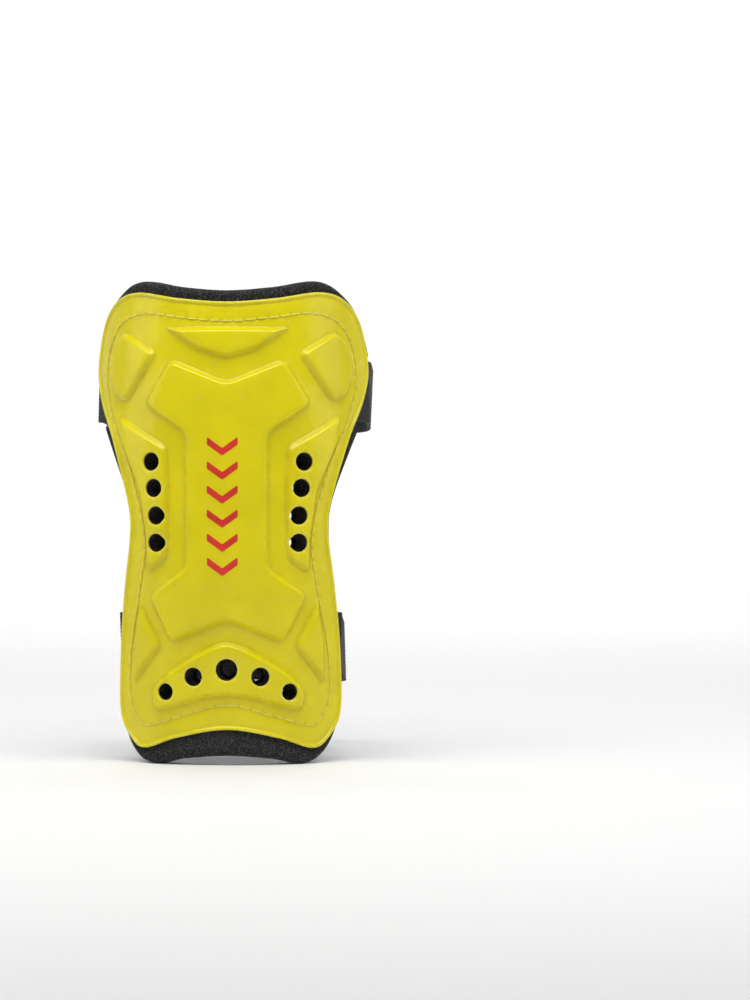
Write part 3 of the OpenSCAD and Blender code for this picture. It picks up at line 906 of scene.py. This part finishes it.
def round_end(e):
    """Width of a tape at a distance e from its rounded end, as a share of the full width."""
    radius = 4.0
    gap = radius - min(max(e, 0.02), radius)
    return 1 - (radius - math.sqrt(radius**2 - gap**2)) / (STRAP_W / 2)


def make_strap(name, loop, side, look):
    """side is -1 for the long strap on the right of the leg, and 1 for the short one."""
    if side < 0:
        line, side_x = strap_line(loop, LONG_LAYER, LONG_END_X)
    else:
        line, side_x = strap_line(loop, 0.0, SHORT_END_X)
    build = Build()
    band(build, line, loop, ribbed_section(), side_x, mirror=side)
    return build.make(name, look)


def hinge_y(loop):
    strap_r = float(face_radius(loop["z"])) - SHELL_T - STRAP_T / 2
    return -strap_r * math.cos(loop["hinge"] / FACE_R)


def make_hook_tab(name, loop, look):
    build = Build()
    z = loop["z"] - loop["drop"]
    band(build, back_line(loop, TAB_LAYER, *TAB_X), loop, flat_section(TAPE_T - 0.3, 0.15), width=round_end)
    for i, x in enumerate(np.arange(TAB_X[0] + 14.5, TAB_X[1] - 1.6, 1.5)):
        for w in np.arange(-11.2, 11.3, 1.45) + 0.35 * (i % 2):
            foot = back_line(loop, TAB_LAYER, x, x + 0.01)[0]
            if abs(w) / 12.5 > round_end(TAB_X[1] - x) - 0.06:
                continue
            rise = np.array([0.22, 0.34, 0.44, 0.5, 0.47, 0.4])
            lean = np.array([0.0, 0.0, 0.04, 0.16, 0.28, 0.32])
            path = np.stack([foot[0] - foot[2] * rise, foot[1] - foot[3] * rise, z + w + lean], 1)
            tube(build, path, 0.075, 4, run=x, across=w, rib=1.0)
    return build.make(name, look)


def make_loop_patch(name, loop, look):
    rng = np.random.default_rng(3)
    build = Build()
    z = loop["z"] - loop["drop"]
    band(build, back_line(loop, PATCH_LAYER, *PATCH_X), loop, flat_section(TAPE_T - 0.3, -0.15))
    for x in np.arange(PATCH_X[0] + 1, PATCH_X[1] - 0.6, 1.45):
        foot = back_line(loop, PATCH_LAYER, x, x + 0.01)[0]
        for w in np.arange(-11.6, 11.7, 1.3):
            turn, lift, shift = rng.uniform(0, math.pi), rng.uniform(0.85, 1.05), rng.uniform(-0.4, 0.4)
            t = np.linspace(0, math.pi, 6)
            reach = 0.55 * np.cos(t)
            out = 0.22 + 0.3 * lift * np.sin(t)
            u, v = reach * math.cos(turn) + shift, reach * math.sin(turn)
            path = np.stack([foot[0] + foot[2] * out + u * foot[3], foot[1] + foot[3] * out - u * foot[2],
                             z + w + v], 1)
            tube(build, path, 0.055, 4, run=x, across=w, rib=1.0)
    return build.make(name, look)


def make_closures(looks):
    for key, loop in LOOPS.items():
        y, z = hinge_y(loop) * MM, loop["z"] * MM
        for side, word in ((-1, "long"), (1, "short")):
            strap = make_strap(f"{key}_{word}_elastic", loop, side, looks["elastic"])
            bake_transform(strap)
            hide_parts(f"{key}_{word}_strap_end", f"{key}_{word}_strap")
        tab = make_hook_tab(f"{key}_hook_tape", loop, looks["hook_tape"])
        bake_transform(tab)
        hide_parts(f"{key}_tab_root", f"{key}_hook_tab")
        patch = make_loop_patch(f"{key}_loop_tape", loop, looks["loop_tape"])
        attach(patch, f"{key}_short")
        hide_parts(f"{key}_loop_patch")
        for node in (f"{key}_tab_stitching", f"{key}_patch_stitching"):
            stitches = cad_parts[node]
            for slot in stitches.material_slots:
                slot.material = looks["black_thread"]


# ---------------------------------------------------------------------------
# The stage


def make_stage(settings, look):
    """A pale floor that curves up into a wall all round, soft lights and the camera."""
    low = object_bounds()[0][2]
    profile = [(0.6, 0.0), (1.3, 0.0)]
    profile += [(1.3 + 0.8 * math.sin(t), 0.8 - 0.8 * math.cos(t)) for t in np.linspace(0.1, math.pi / 2, 12)]
    profile.append((2.1, 2.8))
    turn = 64
    angle = np.arange(turn) * 2 * math.pi / turn
    points = [(r * math.cos(a), r * math.sin(a), low + z) for r, z in profile for a in angle]
    faces = [tuple(range(turn))]
    for k in range(len(profile) - 1):
        at = k * turn
        faces += [(at + i, at + turn + i, at + turn + (i + 1) % turn, at + (i + 1) % turn)
                  for i in range(turn)]
    mesh = bpy.data.meshes.new("pale_sweep")
    mesh.from_pydata(points, [], faces)
    mesh.shade_smooth()
    floor = bpy.data.objects.new("pale_sweep", mesh)
    floor.data.materials.append(look)
    bpy.context.scene.collection.objects.link(floor)
    floor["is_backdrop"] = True

    for name, place, aim, size, power in (
        ("top_softbox", (0.0, -0.32, 0.64), (0.0, -0.02, 0.0), (0.9, 0.35), 0.6),
        ("left_card", (-1.05, -0.3, 0.25), (0.0, 0.0, 0.0), (0.5, 1.0), 0.2),
        ("right_card", (1.05, -0.3, 0.25), (0.0, 0.0, 0.0), (0.5, 1.0), 0.2),
        ("backdrop_light", (0.0, 0.8, 1.5), (0.0, 2.0, 0.5), (2.6, 0.6), 3.2),
        ("wall_light", (0.0, -1.2, 1.9), (0.0, -2.1, 0.3), (2.2, 0.4), 0.35),
    ):
        data = bpy.data.lights.new(name, "AREA")
        data.shape = "RECTANGLE"
        data.size, data.size_y = size
        data.energy = settings.light_power * power
        lamp = bpy.data.objects.new(name, data)
        lamp.location = place
        lamp.rotation_euler = (Vector(aim) - Vector(place)).to_track_quat("-Z", "Y").to_euler()
        bpy.context.scene.collection.objects.link(lamp)

    bpy.context.scene.view_settings.view_transform = "Standard"
    world = bpy.data.worlds.new("white_room")
    world.use_nodes = True
    background = world.node_tree.nodes["Background"]
    background.inputs["Color"].default_value = (1.0, 1.0, 1.0, 1.0)
    background.inputs["Strength"].default_value = settings.room_light
    bpy.context.scene.world = world

    data = bpy.data.cameras.new("camera")
    data.lens = 97.56
    data.sensor_width = 36.0
    camera = bpy.data.objects.new("camera", data)
    camera.location = (0.0849, -1.1182, 0.0067)
    camera.rotation_euler = Vector((-0.0253, 0.9997, 0.0)).to_track_quat("-Z", "Y").to_euler()
    bpy.context.scene.collection.objects.link(camera)
    bpy.context.scene.camera = camera


# ---------------------------------------------------------------------------
# Settings, operators and the panel


class ShinGuardSettings(bpy.types.PropertyGroup):
    shell_colour: FloatVectorProperty(
        name="Shell colour", description="Colour of the moulded sheet", subtype="COLOR", size=3,
        min=0.0, max=1.0, default=(0.70, 0.60, 0.0))
    print_colour: FloatVectorProperty(
        name="Print colour", description="Colour of the chevrons", subtype="COLOR", size=3,
        min=0.0, max=1.0, default=(0.60, 0.016, 0.009))
    thread_colour: FloatVectorProperty(
        name="Thread colour", description="Colour of the seam's thread", subtype="COLOR", size=3,
        min=0.0, max=1.0, default=(0.85, 0.76, 0.12))
    rim_bead: FloatProperty(
        name="Rim bead", description="Height of the thickened line along the shell's rim", subtype="DISTANCE",
        unit="LENGTH", min=0.0, max=0.001, default=0.0005)
    foam_puff: FloatProperty(
        name="Foam puff", description="How far the foam swells beyond the shell's rim", subtype="DISTANCE",
        unit="LENGTH", min=0.0, max=0.002, default=0.0008)


class ShinGuardStageSettings(bpy.types.PropertyGroup):
    floor_colour: FloatVectorProperty(
        name="Floor colour", description="Colour of the floor", subtype="COLOR", size=3,
        min=0.0, max=1.0, default=(0.86, 0.86, 0.86))
    light_power: FloatProperty(
        name="Light power", description="Power of the top softbox", unit="POWER", min=0.0, default=8.5)
    room_light: FloatProperty(
        name="Room light", description="Strength of the even light from all round", min=0.0, default=0.06)


class SHINGUARD_OT_shell(bpy.types.Operator):
    """Makes the moulded shell with its raised panels, vent holes and needle holes"""

    bl_idname = "shinguard.shell"
    bl_label = "Moulded shell"

    def execute(self, context):
        settings = context.scene.shin_guard
        make_shell(settings, shell_look(settings.shell_colour))
        return {"FINISHED"}


class SHINGUARD_OT_print(bpy.types.Operator):
    """Makes the row of ink chevrons on the middle panel"""

    bl_idname = "shinguard.print"
    bl_label = "Chevrons"

    def execute(self, context):
        make_print(ink_look(context.scene.shin_guard.print_colour))
        return {"FINISHED"}


class SHINGUARD_OT_soft_layers(bpy.types.Operator):
    """Makes the foam sheet and the knitted lining behind the shell"""

    bl_idname = "shinguard.soft_layers"
    bl_label = "Foam and lining"

    def execute(self, context):
        make_foam(context.scene.shin_guard, foam_look())
        make_lining(knit_look())
        return {"FINISHED"}


class SHINGUARD_OT_seam(bpy.types.Operator):
    """Makes the stitches that join the shell, the foam and the lining"""

    bl_idname = "shinguard.seam"
    bl_label = "Edge seam"

    def execute(self, context):
        make_seam(thread_look("yellow_thread", context.scene.shin_guard.thread_colour))
        return {"FINISHED"}


class SHINGUARD_OT_straps(bpy.types.Operator):
    """Makes both closing straps with their hook tabs and loop patches"""

    bl_idname = "shinguard.straps"
    bl_label = "Straps"

    def execute(self, context):
        make_closures({
            "elastic": elastic_look(),
            "hook_tape": tape_look("hook_tape", (0.014, 0.014, 0.015), 1.1),
            "loop_tape": tape_look("loop_tape", (0.018, 0.018, 0.019), 0.8),
            "black_thread": thread_look("black_thread", (0.02, 0.02, 0.02)),
        })
        return {"FINISHED"}


class SHINGUARD_OT_stage(bpy.types.Operator):
    """Makes the pale floor, the soft lights and the camera"""

    bl_idname = "shinguard.stage"
    bl_label = "Stage"

    def execute(self, context):
        settings = context.scene.shin_guard_stage
        make_stage(settings, floor_look(settings.floor_colour))
        return {"FINISHED"}


class SHINGUARD_PT_panel(bpy.types.Panel):
    bl_label = "Shin Guard"
    bl_idname = "SHINGUARD_PT_panel"
    bl_space_type = "VIEW_3D"
    bl_region_type = "UI"
    bl_category = "Shin Guard"

    def draw(self, context):
        guard, stage = context.scene.shin_guard, context.scene.shin_guard_stage
        groups = (
            (guard, ("shell_colour", "rim_bead"), "shinguard.shell"),
            (guard, ("print_colour",), "shinguard.print"),
            (guard, ("foam_puff",), "shinguard.soft_layers"),
            (guard, ("thread_colour",), "shinguard.seam"),
            (guard, (), "shinguard.straps"),
            (stage, ("floor_colour", "light_power", "room_light"), "shinguard.stage"),
        )
        for settings, names, operator in groups:
            box = self.layout.box()
            for name in names:
                box.prop(settings, name)
            box.operator(operator)


CLASSES = (
    ShinGuardSettings,
    ShinGuardStageSettings,
    SHINGUARD_OT_shell,
    SHINGUARD_OT_print,
    SHINGUARD_OT_soft_layers,
    SHINGUARD_OT_seam,
    SHINGUARD_OT_straps,
    SHINGUARD_OT_stage,
    SHINGUARD_PT_panel,
)


def register():
    for cls in CLASSES:
        bpy.utils.register_class(cls)
    bpy.types.Scene.shin_guard = PointerProperty(type=ShinGuardSettings)
    bpy.types.Scene.shin_guard_stage = PointerProperty(type=ShinGuardStageSettings)


def unregister():
    del bpy.types.Scene.shin_guard_stage
    del bpy.types.Scene.shin_guard
    for cls in reversed(CLASSES):
        bpy.utils.unregister_class(cls)


def main():
    register()
    bpy.ops.shinguard.shell()
    bpy.ops.shinguard.print()
    bpy.ops.shinguard.soft_layers()
    bpy.ops.shinguard.seam()
    bpy.ops.shinguard.straps()
    bpy.ops.shinguard.stage()


if __name__ == "__main__":
    main()
